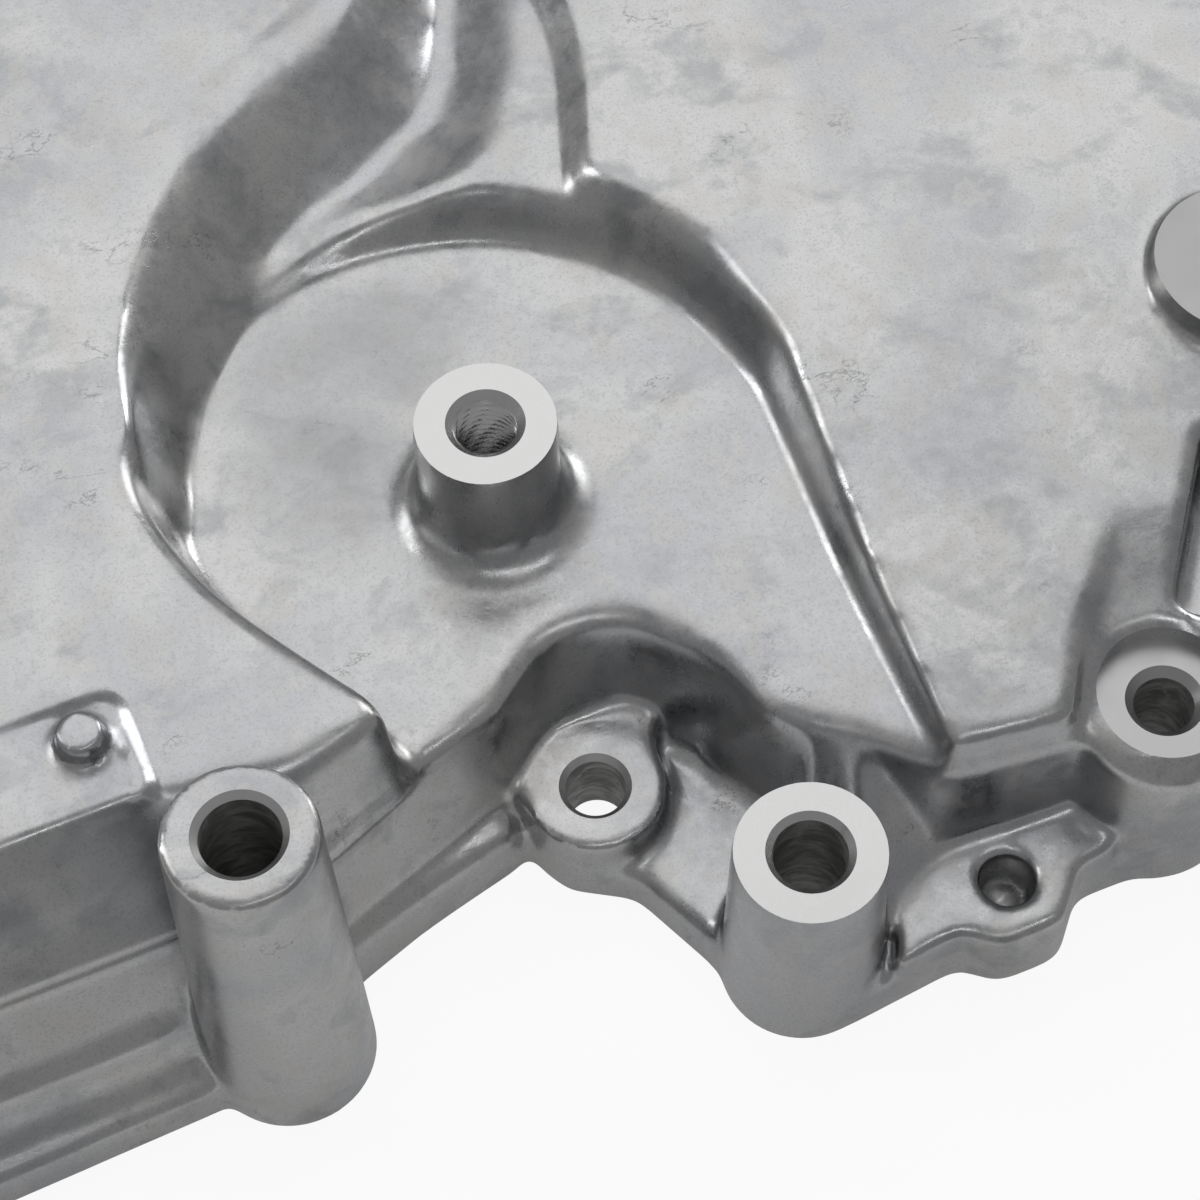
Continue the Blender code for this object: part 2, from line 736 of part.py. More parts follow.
def build_cover():
    """Build the casting and return it."""
    cover = wall_block()
    solids = [
        flange_plate(),
        ledge_block(),
        arm_block(),
        valley_shelf(),
        panel("left_panel", LEFT_TOP, LEFT_FOOT, left_foot_height),
        panel("right_panel", RIGHT_TOP, RIGHT_FOOT, pocket_height),
        label_pad(),
        step_block("rail", RAIL, RAIL_TOP, 1.6 * MM),
        step_block("bolt_pad", BOLT_PAD, BOLT_PAD_TOP - MACHINED_STEP, 0.4 * MM),
        step_block("dimple_pad", DIMPLE_PAD, DIMPLE_PAD_TOP, 0.4 * MM),
        centre_slope(),
    ]
    right_cavity = panel_cavity("right_cavity", RIGHT_TOP, RIGHT_FOOT)
    combine(right_cavity, panel_fall("cavity_fall", SKIN), "DIFFERENCE")
    cutters = [
        panel_fall("panel_fall", 0.0),
        cavity(),
        panel_cavity("left_cavity", LEFT_TOP, LEFT_FOOT),
        right_cavity,
    ]
    for tool in solids:
        combine(cover, tool, "UNION")
    for tool in cutters:
        combine(cover, tool, "DIFFERENCE")

    late_solids = [
        threaded_boss(),
        boss("tall_boss", TALL_BOSS, TALL_BOSS_D, TALL_BOSS_TOP),
        boss("centre_boss", CENTRE_BOSS, CENTRE_BOSS_D, CENTRE_BOSS_TOP),
        arm_boss(),
        boss("arm_boss_end", ARM_BOSS_END, ARM_BOSS_D, ARM_BOSS_END_TOP),
        boss("stud", STUD, STUD_D, STUD_TOP, PLAIN_SIDES, PAD_TOP - SKIN),
        boss("crank_collar", CRANK_BORE, CRANK_COLLAR_D, CRANK_COLLAR_TOP, BOSS_SIDES, PANEL_TOP - 3 * SKIN),
    ]
    for i, centre in enumerate(BOLT_BOSSES):
        sides = PLAIN_SIDES if i else BOSS_SIDES
        late_solids.append(boss(f"bolt_boss_{i}", centre, BOLT_BOSS_D, BOLT_PAD_TOP, sides))
    for tool in late_solids:
        combine(cover, tool, "UNION")

    drills = [
        blind_hole("thread", (0.0, 0.0), THREAD_MINOR_D, THREAD_BOSS_TOP, THREAD_DEPTH, THREAD_CHAMFER_D),
        hole("tall_bore", TALL_BOSS, TALL_BORE_D, TALL_BOSS_TOP, -TRIM_DEPTH, TALL_CHAMFER_D),
        hole("centre_bore", CENTRE_BOSS, CENTRE_BORE_D, CENTRE_BOSS_TOP, -TRIM_DEPTH, CENTRE_CHAMFER_D),
        blind_hole("dimple", CAST_DIMPLE, CAST_DIMPLE_D, DIMPLE_PAD_TOP, CAST_DIMPLE_DEPTH,
                   CAST_DIMPLE_D + 0.4 * MM),
        hole("spot_face", ARM_BOSS, SPOT_FACE_D, ARM_TOP, SPOT_FACE_TOP, SPOT_FACE_D + 0.4 * MM),
        hole("arm_bore", ARM_BOSS, ARM_BORE_D, SPOT_FACE_TOP, -TRIM_DEPTH, ARM_CHAMFER_D),
        hole("arm_end_bore", ARM_BOSS_END, ARM_BORE_D, ARM_BOSS_END_TOP, -TRIM_DEPTH, ARM_CHAMFER_D),
        hole("crank_bore", CRANK_BORE, CRANK_BORE_D, CRANK_COLLAR_TOP, -TRIM_DEPTH,
             CRANK_BORE_D + 3 * MM, 48),
        window(),
        trim_block(),
    ]
    for i, centre in enumerate(BOLT_BOSSES):
        sides = PLAIN_SIDES if i else HOLE_SIDES
        drills.append(hole(f"bolt_hole_{i}", centre, BOLT_HOLE_D, BOLT_PAD_TOP, -TRIM_DEPTH,
                           BOLT_CHAMFER_D, sides))
    for tool in drills:
        combine(cover, tool, "DIFFERENCE")
    cover.name = "timing_cover"
    cover.data.name = "timing_cover"
    return cover


def finish(cover):
    """Give the casting its material and smooth shading across its shallow edges."""
    material = bpy.data.materials.new("cast_aluminium")
    material.use_nodes = True
    shader = material.node_tree.nodes["Principled BSDF"]
    shader.inputs["Base Color"].default_value = CAST_COLOUR
    shader.inputs["Roughness"].default_value = 0.42
    shader.inputs["Metallic"].default_value = 1.0
    material.diffuse_color = CAST_COLOUR
    cover.data.materials.clear()
    cover.data.materials.append(material)
    cover.data.shade_smooth()
    cover.data.set_sharp_from_angle(angle=SHARP_ANGLE)


def centre(cover):
    """Move the mesh so that the middle of its footprint is over the world origin."""
    xs = [vertex.co.x for vertex in cover.data.vertices]
    ys = [vertex.co.y for vertex in cover.data.vertices]
    shift = Vector((-(min(xs) + max(xs)) / 2, -(min(ys) + max(ys)) / 2, 0.0))
    cover.data.transform(Matrix.Translation(shift))
    return shift


for old in list(bpy.data.objects):
    bpy.data.objects.remove(old)
timing_cover = build_cover()
centre(timing_cover)
finish(timing_cover)
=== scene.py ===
"""Looks of the timing cover: one die-cast casting with machined boss faces on a pale floor.

The CAD solid is copied, remeshed and softened into a casting skin.  Its holes are then filled and
machined again, so that faces, chamfers, bores and the thread stay crisp on the soft casting.
All lengths are in metres in the CAD frame.  Places on the casting are given from the axis of the
threaded pulley boss, which lies at PULLEY_AXIS.
"""

import logging
import math
from dataclasses import dataclass
from enum import Enum
from typing import ClassVar

import bmesh
import bpy
import numpy as np
from mathutils import Matrix, Vector


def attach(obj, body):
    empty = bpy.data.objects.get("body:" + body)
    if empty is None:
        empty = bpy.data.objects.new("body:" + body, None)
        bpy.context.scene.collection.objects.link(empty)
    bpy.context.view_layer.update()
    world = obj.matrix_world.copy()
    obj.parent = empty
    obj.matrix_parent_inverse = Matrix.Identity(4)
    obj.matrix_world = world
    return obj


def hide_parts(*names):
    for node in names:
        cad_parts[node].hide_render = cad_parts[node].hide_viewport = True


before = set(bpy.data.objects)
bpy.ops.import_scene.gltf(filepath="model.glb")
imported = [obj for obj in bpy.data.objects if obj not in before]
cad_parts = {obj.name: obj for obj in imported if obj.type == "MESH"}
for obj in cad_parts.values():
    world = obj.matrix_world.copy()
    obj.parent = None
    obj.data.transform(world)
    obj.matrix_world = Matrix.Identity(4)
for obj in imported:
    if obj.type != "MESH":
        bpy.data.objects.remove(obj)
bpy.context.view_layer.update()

MM = 0.001
PULLEY_AXIS = Vector((-5.1 * MM, -31.3 * MM, 0.0))
Colour = tuple[float, float, float]
Place = tuple[float, float]
Stop = tuple[float, float]
LOG = logging.getLogger("timing_cover")


class Surface(Enum):
    """The casting's material slots. The seats' slots follow from SEATS on."""

    CAST = 0
    DRILLED = 1
    TAPPED = 2
    SEATS = 3


class Facing(Enum):
    """How a boss face was finished, as colour and roughness."""

    BRIGHT = ((0.575, 0.575, 0.57), 0.27)
    SPOT = ((0.46, 0.46, 0.46), 0.34)
    DULL = ((0.40, 0.40, 0.40), 0.42)
    TAPPED = ((0.66, 0.66, 0.655), 0.22)
    CAST = ((0.60, 0.60, 0.595), 0.36)


@dataclass(frozen=True)
class Noise:
    """One layer of fractal noise, with its turns per metre and how its octaves add up."""

    scale: float
    detail: float
    roughness: float
    distortion: float = 0.0
    stretch: tuple[float, float, float] | None = None
    turn: float = 0.0


@dataclass(frozen=True)
class PaintedReflection:
    """A patch of painted dark reflection on the pocket's floor, in millimetres from the pulley
    axis.
    """

    place: tuple[float, float, float]
    reach: float


@dataclass(frozen=True)
class CastFinish:
    """As-cast aluminium: cloudy patches, flow lines, small pits and a soft skin."""

    name: str = "cast_aluminium"
    dark: Colour = (0.365, 0.37, 0.375)
    light: Colour = (0.50, 0.50, 0.497)
    cool: Colour = (0.385, 0.395, 0.415)
    warm: Colour = (0.515, 0.50, 0.48)
    # The colour of the painted dark reflection on the pocket's floor.
    dark_reflection: Colour = (0.27, 0.275, 0.285)
    speck_shade: float = 0.72
    crack_shade: float = 0.45
    wide_noise: Noise = Noise(24.0, 2.0, 0.5, 0.5)
    cloud_noise: Noise = Noise(62.0, 5.0, 0.58, 0.35, (1.0, 1.35, 1.0), 0.5)
    patch_noise: Noise = Noise(105.0, 7.0, 0.62, 0.25, (1.3, 1.0, 1.0), -0.4)
    grain_noise: Noise = Noise(520.0, 3.0, 0.6)
    fine_noise: Noise = Noise(2400.0, 2.0, 0.5)
    run_noise: Noise = Noise(120.0, 6.0, 0.62, 0.3, (1.0, 1.8, 1.0), 0.25)
    rare_noise: Noise = Noise(70.0, 3.0, 0.5, 0.4)
    pit_scale: float = 330.0
    cool_share: tuple[Stop, ...] = ((0.44, 0.0), (0.60, 0.65))
    warm_share: tuple[Stop, ...] = ((0.54, 0.0), (0.585, 0.42), (0.74, 0.30))
    shade_share: tuple[Stop, ...] = ((0.36, 0.50), (0.43, 0.0))
    speck_share: tuple[Stop, ...] = ((0.36, 0.30), (0.46, 0.0))
    line_share: tuple[Stop, ...] = ((0.488, 0.0), (0.50, 1.0), (0.512, 0.0))
    rare_share: tuple[Stop, ...] = ((0.60, 0.0), (0.68, 0.7))
    # Patches of painted dark reflection on the left part of the pocket's floor.
    painted_reflections: tuple[PaintedReflection, ...] = (
        PaintedReflection((-16.0, 30.0, 30.6), 26.0),
        PaintedReflection((-2.0, 33.0, 30.6), 19.0),
        PaintedReflection((-22.0, 12.0, 30.6), 22.0),
    )
    reflection_depth: float = 0.42
    reflection_ragged: float = 14.0
    reflection_edge: tuple[float, float] = (0.75, 1.15)
    rough: tuple[float, float] = (0.22, 0.36)
    bump: float = 0.30
    bump_height: float = 0.6 * MM
    cloud_height: float = 0.55
    layer_heights: tuple[float, ...] = (0.16, 0.04, 0.008, 0.05, -0.08)

    def material(self) -> bpy.types.Material:
        """Build the material.

        Returns:
            The finished material.
        """
        web = NodeWeb(self.name)
        place = web.place()
        cloud = web.noise(place, self.cloud_noise)
        patch = web.noise(place, self.patch_noise)
        grain = web.noise(place, self.grain_noise)
        fine = web.noise(place, self.fine_noise)
        line = web.shares(web.noise(place, self.run_noise), self.line_share)
        rare = web.shares(web.noise(place, self.rare_noise), self.rare_share)
        crack = web.math("MULTIPLY", line, rare)

        self.paint(web, place, cloud, patch, fine, crack)
        blend = web.math("MULTIPLY_ADD", patch, 0.7, web.math("MULTIPLY", grain, 0.3))
        rough = web.spread(blend, 0.38, 0.60, *self.rough)
        web.link(rough, web.shader.inputs["Roughness"])
        web.shader.inputs["Metallic"].default_value = 1.0

        pit = web.spread(web.voronoi(place, self.pit_scale), 0.03, 0.14, -1.0, 0.0)
        height = web.math("MULTIPLY", cloud, self.cloud_height)
        layers = (patch, grain, fine, pit, crack)
        for layer, share in zip(layers, self.layer_heights):
            height = web.math("MULTIPLY_ADD", layer, share, height)
        web.bump(height, self.bump, self.bump_height)
        return web.material

    def paint(
        self,
        web: "NodeWeb",
        place: bpy.types.NodeSocket,
        cloud: bpy.types.NodeSocket,
        patch: bpy.types.NodeSocket,
        fine: bpy.types.NodeSocket,
        crack: bpy.types.NodeSocket,
    ) -> None:
        """Colour the skin: clouds, cool and warm areas, specks, painted dark reflection on the
        pocket's floor and fine cracks.

        Args:
            web: the material's nodes.
            place: the coordinates.
            cloud: the large noise.
            patch: the noise of the patches.
            fine: the noise of the specks.
            crack: the share of the fine cracks.
        """
        base = web.ramp(cloud, [(0.36, self.dark), (0.48, self.light), (0.70, self.light)])
        cool = web.shares(web.noise(place, self.wide_noise), self.cool_share)
        base = web.mix(cool, base, self.cool)
        base = web.mix(web.shares(patch, self.warm_share), base, self.warm)
        base = web.mix(web.shares(patch, self.shade_share), base, self.dark)
        speck = web.shares(fine, self.speck_share)
        base = web.mix(speck, base, tuple(self.speck_shade * c for c in self.dark))
        # Painted dark reflection: darken the pocket's floor in patches with ragged edges.
        for dark_reflection in self.painted_reflections:
            spot = PULLEY_AXIS + Vector(dark_reflection.place) * MM
            away = web.length(web.vector("SUBTRACT", place, tuple(spot)))
            edge = web.math("MULTIPLY_ADD", cloud, self.reflection_ragged * MM, away)
            near, far = (dark_reflection.reach * share * MM for share in self.reflection_edge)
            base = web.mix(web.spread(edge, near, far, self.reflection_depth, 0.0), base, self.dark_reflection)
        base = web.mix(crack, base, tuple(self.crack_shade * c for c in self.dark))
        web.link(base, web.shader.inputs["Base Color"])


@dataclass(frozen=True)
class TurnedFinish:
    """A face cut round an axis, with fine rings."""

    name: str
    centre: Place
    facing: Facing
    ring_pitch: float = 0.16 * MM
    ring_strength: float = 0.05
    ring_height: float = 0.05 * MM
    haze_noise: Noise = Noise(130.0, 4.0, 0.6, 0.8)
    haze_shade: float = 0.94
    haze_rough: tuple[float, float] = (0.85, 1.2)

    def material(self) -> bpy.types.Material:
        """Build the material.

        Returns:
            The finished material.
        """
        web = NodeWeb(self.name)
        place = web.place()
        offset = on_cover(self.centre)
        flat = web.vector("SUBTRACT", place, tuple(offset))
        flat = web.vector("MULTIPLY", flat, (1.0, 1.0, 0.0))
        distance = web.length(flat)
        haze = web.noise(place, self.haze_noise)
        colour, roughness = self.facing.value
        hazy = tuple(self.haze_shade * c for c in colour)
        web.link(web.ramp(haze, [(0.35, hazy), (0.65, colour)]), web.shader.inputs["Base Color"])
        web.shader.inputs["Metallic"].default_value = 1.0
        smooth, dull = (roughness * share for share in self.haze_rough)
        web.link(web.spread(haze, 0.3, 0.7, smooth, dull), web.shader.inputs["Roughness"])
        rings = web.math("SINE", web.math("MULTIPLY", distance, 2 * math.pi / self.ring_pitch))
        web.bump(rings, self.ring_strength, self.ring_height)
        return web.material


@dataclass(frozen=True)
class DrilledFinish:
    """The wall of a drilled hole: rough and streaked, its colour darkened as painted shade inside
    the bore.
    """

    name: str = "drilled_wall"
    # The dark end of the streaks is painted shade inside the bore.
    dark: Colour = (0.26, 0.255, 0.245)
    light: Colour = (0.60, 0.60, 0.595)
    metallic: float = 0.6
    roughness: float = 0.38
    streak_noise: Noise = Noise(170.0, 5.0, 0.65, 1.0, (1.0, 1.0, 2.5), 0.2)
    bump: float = 0.25
    bump_height: float = 0.2 * MM

    def material(self) -> bpy.types.Material:
        """Build the material.

        Returns:
            The finished material.
        """
        web = NodeWeb(self.name)
        streak = web.noise(web.place(), self.streak_noise)
        web.link(
            web.ramp(streak, [(0.40, self.dark), (0.62, self.light)]),
            web.shader.inputs["Base Color"],
        )
        web.shader.inputs["Metallic"].default_value = self.metallic
        web.shader.inputs["Roughness"].default_value = self.roughness
        web.bump(streak, self.bump, self.bump_height)
        return web.material


class NodeWeb:
    """A small helper that builds one material's nodes on Object coordinates."""

    def __init__(self, name: str) -> None:
        """Start a material with one Principled shader.

        Args:
            name: the material's name.
        """
        self.material = bpy.data.materials.new(name)
        self.material.use_nodes = True
        self.tree = self.material.node_tree
        self.shader = self.tree.nodes["Principled BSDF"]

    def add(self, kind: str) -> bpy.types.Node:
        """Add a node of a kind."""
        return self.tree.nodes.new(kind)

    def link(self, source: bpy.types.NodeSocket, target: bpy.types.NodeSocket) -> None:
        """Link two sockets."""
        self.tree.links.new(source, target)

    def feed(self, socket: bpy.types.NodeSocket, value: object) -> None:
        """Link a socket to another one, or set it to a constant.

        Args:
            socket: the input.
            value: an output socket, a number or a tuple.
        """
        if isinstance(value, bpy.types.NodeSocket):
            self.link(value, socket)
        elif isinstance(value, tuple) and len(value) == 3 and socket.type == "RGBA":
            socket.default_value = (*value, 1.0)
        else:
            socket.default_value = value

    def place(self) -> bpy.types.NodeSocket:
        """Return the Object coordinates."""
        return self.add("ShaderNodeTexCoord").outputs["Object"]

    def stretched(
        self, place: bpy.types.NodeSocket, scale: tuple[float, float, float], turn: float
    ) -> bpy.types.NodeSocket:
        """Turn the coordinates about Z and scale them.

        Args:
            place: the coordinates.
            scale: the scale along each axis.
            turn: the turn in radians.

        Returns:
            The new coordinates.
        """
        node = self.add("ShaderNodeMapping")
        self.link(place, node.inputs["Vector"])
        node.inputs["Rotation"].default_value = (0.0, 0.0, turn)
        node.inputs["Scale"].default_value = scale
        return node.outputs["Vector"]

    def noise(self, place: bpy.types.NodeSocket, layer: Noise) -> bpy.types.NodeSocket:
        """Return fractal noise.

        Args:
            place: the coordinates.
            layer: the noise's settings.

        Returns:
            The noise's value socket.
        """
        if layer.stretch:
            place = self.stretched(place, layer.stretch, layer.turn)
        node = self.add("ShaderNodeTexNoise")
        self.link(place, node.inputs["Vector"])
        node.inputs["Scale"].default_value = layer.scale
        node.inputs["Detail"].default_value = layer.detail
        node.inputs["Roughness"].default_value = layer.roughness
        node.inputs["Distortion"].default_value = layer.distortion
        return node.outputs["Fac"]

    def voronoi(self, place: bpy.types.NodeSocket, scale: float) -> bpy.types.NodeSocket:
        """Return the distance to the nearest of scattered points."""
        node = self.add("ShaderNodeTexVoronoi")
        self.link(place, node.inputs["Vector"])
        node.inputs["Scale"].default_value = scale
        return node.outputs["Distance"]

    def ramp(
        self, value: bpy.types.NodeSocket, stops: list[tuple[float, tuple[float, ...]]]
    ) -> bpy.types.NodeSocket:
        """Return a colour ramp of a value.

        Args:
            value: the input.
            stops: positions and colours.

        Returns:
            The ramp's colour socket.
        """
        node = self.add("ShaderNodeValToRGB")
        elements = node.color_ramp.elements
        while len(elements) < len(stops):
            elements.new(0.5)
        for element, (position, colour) in zip(elements, stops):
            element.position = position
            element.color = (*colour, 1.0)
        self.link(value, node.inputs["Fac"])
        return node.outputs["Color"]

    def shares(
        self, value: bpy.types.NodeSocket, stops: tuple[Stop, ...]
    ) -> bpy.types.NodeSocket:
        """Return a grey ramp of a value, from positions and shares."""
        return self.ramp(value, [(position, (share,) * 3) for position, share in stops])

    def mix(
        self, share: bpy.types.NodeSocket, first: bpy.types.NodeSocket, second: Colour
    ) -> bpy.types.NodeSocket:
        """Return the first colour mixed towards the second by a share."""
        node = self.add("ShaderNodeMix")
        node.data_type = "RGBA"
        self.link(share, node.inputs["Factor"])
        self.feed(node.inputs[6], first)
        self.feed(node.inputs[7], second)
        return node.outputs[2]

    def math(self, operation: str, *values: object) -> bpy.types.NodeSocket:
        """Return the result of a math operation on sockets or numbers."""
        node = self.add("ShaderNodeMath")
        node.operation = operation
        for socket, value in zip(node.inputs, values):
            self.feed(socket, value)
        return node.outputs[0]

    def vector(self, operation: str, *values: object) -> bpy.types.NodeSocket:
        """Return the result of a vector operation on sockets or tuples."""
        node = self.add("ShaderNodeVectorMath")
        node.operation = operation
        for socket, value in zip(node.inputs, values):
            self.feed(socket, value)
        return node.outputs["Vector"]

    def length(self, value: bpy.types.NodeSocket) -> bpy.types.NodeSocket:
        """Return a vector's length."""
        node = self.add("ShaderNodeVectorMath")
        node.operation = "LENGTH"
        self.link(value, node.inputs[0])
        return node.outputs["Value"]

    def spread(
        self, value: bpy.types.NodeSocket, low: float, high: float, to_low: float, to_high: float
    ) -> bpy.types.NodeSocket:
        """Return a value mapped from one range to another, clamped."""
        node = self.add("ShaderNodeMapRange")
        self.link(value, node.inputs["Value"])
        for name, number in zip(
            ("From Min", "From Max", "To Min", "To Max"), (low, high, to_low, to_high)
        ):
            node.inputs[name].default_value = number
        return node.outputs["Result"]

    def bump(self, height: bpy.types.NodeSocket, strength: float, distance: float) -> None:
        """Give the shader a bump.

        Args:
            height: the height's socket.
            strength: the bump's strength.
            distance: the height of one unit, in metres.
        """
        node = self.add("ShaderNodeBump")
        node.inputs["Strength"].default_value = strength
        node.inputs["Distance"].default_value = distance
        self.link(height, node.inputs["Height"])
        self.link(node.outputs["Normal"], self.shader.inputs["Normal"])


def on_cover(place: Place) -> Vector:
    """Turn millimetres from the pulley axis into a point on the gasket plane."""
    return PULLEY_AXIS + Vector((place[0] * MM, place[1] * MM, 0.0))


def new_object(name: str, mesh: bpy.types.Mesh) -> bpy.types.Object:
    """Link a new object for a mesh.

    Args:
        name: the object's name.
        mesh: its mesh.

    Returns:
        The object.
    """
    item = bpy.data.objects.new(name, mesh)
    bpy.context.scene.collection.objects.link(item)
    return item


def baked(item: bpy.types.Object) -> bpy.types.Mesh:
    """Replace an object's mesh with its evaluated one and drop its modifiers.

    Args:
        item: the object.

    Returns:
        The new mesh.
    """
    view = item.evaluated_get(bpy.context.evaluated_depsgraph_get())
    mesh = bpy.data.meshes.new_from_object(view)
    old = item.data
    item.modifiers.clear()
    item.data = mesh
    bpy.data.meshes.remove(old)
    return mesh


def revolve(
    work: bmesh.types.BMesh, centre: Vector, profile: list[tuple[float, float]], sides: int = 96
) -> None:
    """Add a turned closed solid to a bmesh.

    Args:
        work: the bmesh.
        centre: a point on the axis.
        profile: radius and height pairs from the bottom up.
        sides: how many sides the solid has.
    """
    rings = []
    for radius, height in profile:
        ring = []
        for i in range(sides):
            angle = 2 * math.pi * i / sides
            ring.append(work.verts.new((
                centre.x + radius * math.cos(angle),
                centre.y + radius * math.sin(angle),
                height,
            )))
        rings.append(ring)
    for low, high in zip(rings, rings[1:]):
        for i in range(sides):
            j = (i + 1) % sides
            work.faces.new((low[i], low[j], high[j], high[i]))
    work.faces.new(list(reversed(rings[0])))
    work.faces.new(rings[-1])


@dataclass(frozen=True)
class Seat:
    """One boss: where it stands, how its top is faced and what is drilled into it."""

    PLUG_SIDES: ClassVar[int] = 64
    PLUG_INSET: ClassVar[float] = 0.25
    PLUG_SUNK: ClassVar[float] = 0.02
    PLUG_EDGE: ClassVar[float] = 0.5
    PLUG_BELOW: ClassVar[float] = 1.5
    PLUG_BOTTOM: ClassVar[float] = -2.0
    SPOT_FACE_MARGIN: ClassVar[float] = 0.8
    FACE_MARGIN: ClassVar[float] = 2.0
    FACE_ROOM: ClassVar[float] = 9.0
    FACE_LIFT: ClassVar[float] = 0.0001
    MOUTH_ROOM: ClassVar[float] = 2.0
    DRILL_TIP: ClassVar[float] = 0.03
    DRILL_SLOPE: ClassVar[float] = 0.58

    name: str
    place: Place
    diameter: float
    top: float
    bore: float
    chamfer: float
    bottom: float = -8.0
    faced: bool = False
    face_diameter: float = 0.0
    threaded: bool = False
    facing: Facing = Facing.CAST

    @property
    def axis(self) -> Vector:
        """Return the axis in the CAD frame."""
        return on_cover(self.place)

    @property
    def blind(self) -> bool:
        """Return whether the bore ends in the material."""
        return self.bottom > 0.0

    @property
    def face_radius(self) -> float:
        """Return the radius out to which the top is faced."""
        if self.face_diameter:
            return self.face_diameter / 2
        return self.diameter / 2 + self.FACE_MARGIN

    def fill(self, work: bmesh.types.BMesh, proud: float) -> None:
        """Add the plug that fills the CAD's hole, and stands proud of a face to be cut.

        Args:
            work: the bmesh.
            proud: how far a faced boss stands above its finished face.
        """
        radius = self.diameter / 2 - self.PLUG_INSET
        if self.face_diameter:
            radius = self.face_diameter / 2 + self.SPOT_FACE_MARGIN
        low = self.bottom - self.PLUG_BELOW if self.blind else self.PLUG_BOTTOM
        if self.faced:
            profile = [(radius, low), (radius, self.top + proud)]
        else:
            height = self.top - self.PLUG_SUNK
            edge = self.PLUG_EDGE
            profile = [(radius, low), (radius, height - edge), (radius - edge, height)]
        revolve(work, self.axis, [(r * MM, z * MM) for r, z in profile], self.PLUG_SIDES)

    def cut(self, work: bmesh.types.BMesh) -> None:
        """Add the cutter that faces the boss, chamfers the mouth and drills the bore.

        Args:
            work: the bmesh.
        """
        bore = self.bore / 2
        mouth = self.chamfer / 2
        profile = [(bore, self.bottom), (bore, self.top - (mouth - bore)), (mouth, self.top)]
        if self.blind:
            tip = (bore * self.DRILL_TIP, self.bottom - bore * self.DRILL_SLOPE)
            profile.insert(0, tip)
        if self.faced:
            profile.append((self.face_radius, self.top + self.FACE_LIFT))
            profile.append((self.face_radius, self.top + self.FACE_ROOM))
        else:
            profile.append((mouth + self.MOUTH_ROOM, self.top + self.MOUTH_ROOM))
        revolve(work, self.axis, [(r * MM, z * MM) for r, z in profile])


@dataclass(frozen=True)
class Mark:
    """A shallow groove or step in the casting's upper faces, along a line in millimetres."""

    line: tuple[Place, ...]
    depth: float
    width: float
    floor: float
    step: bool = False


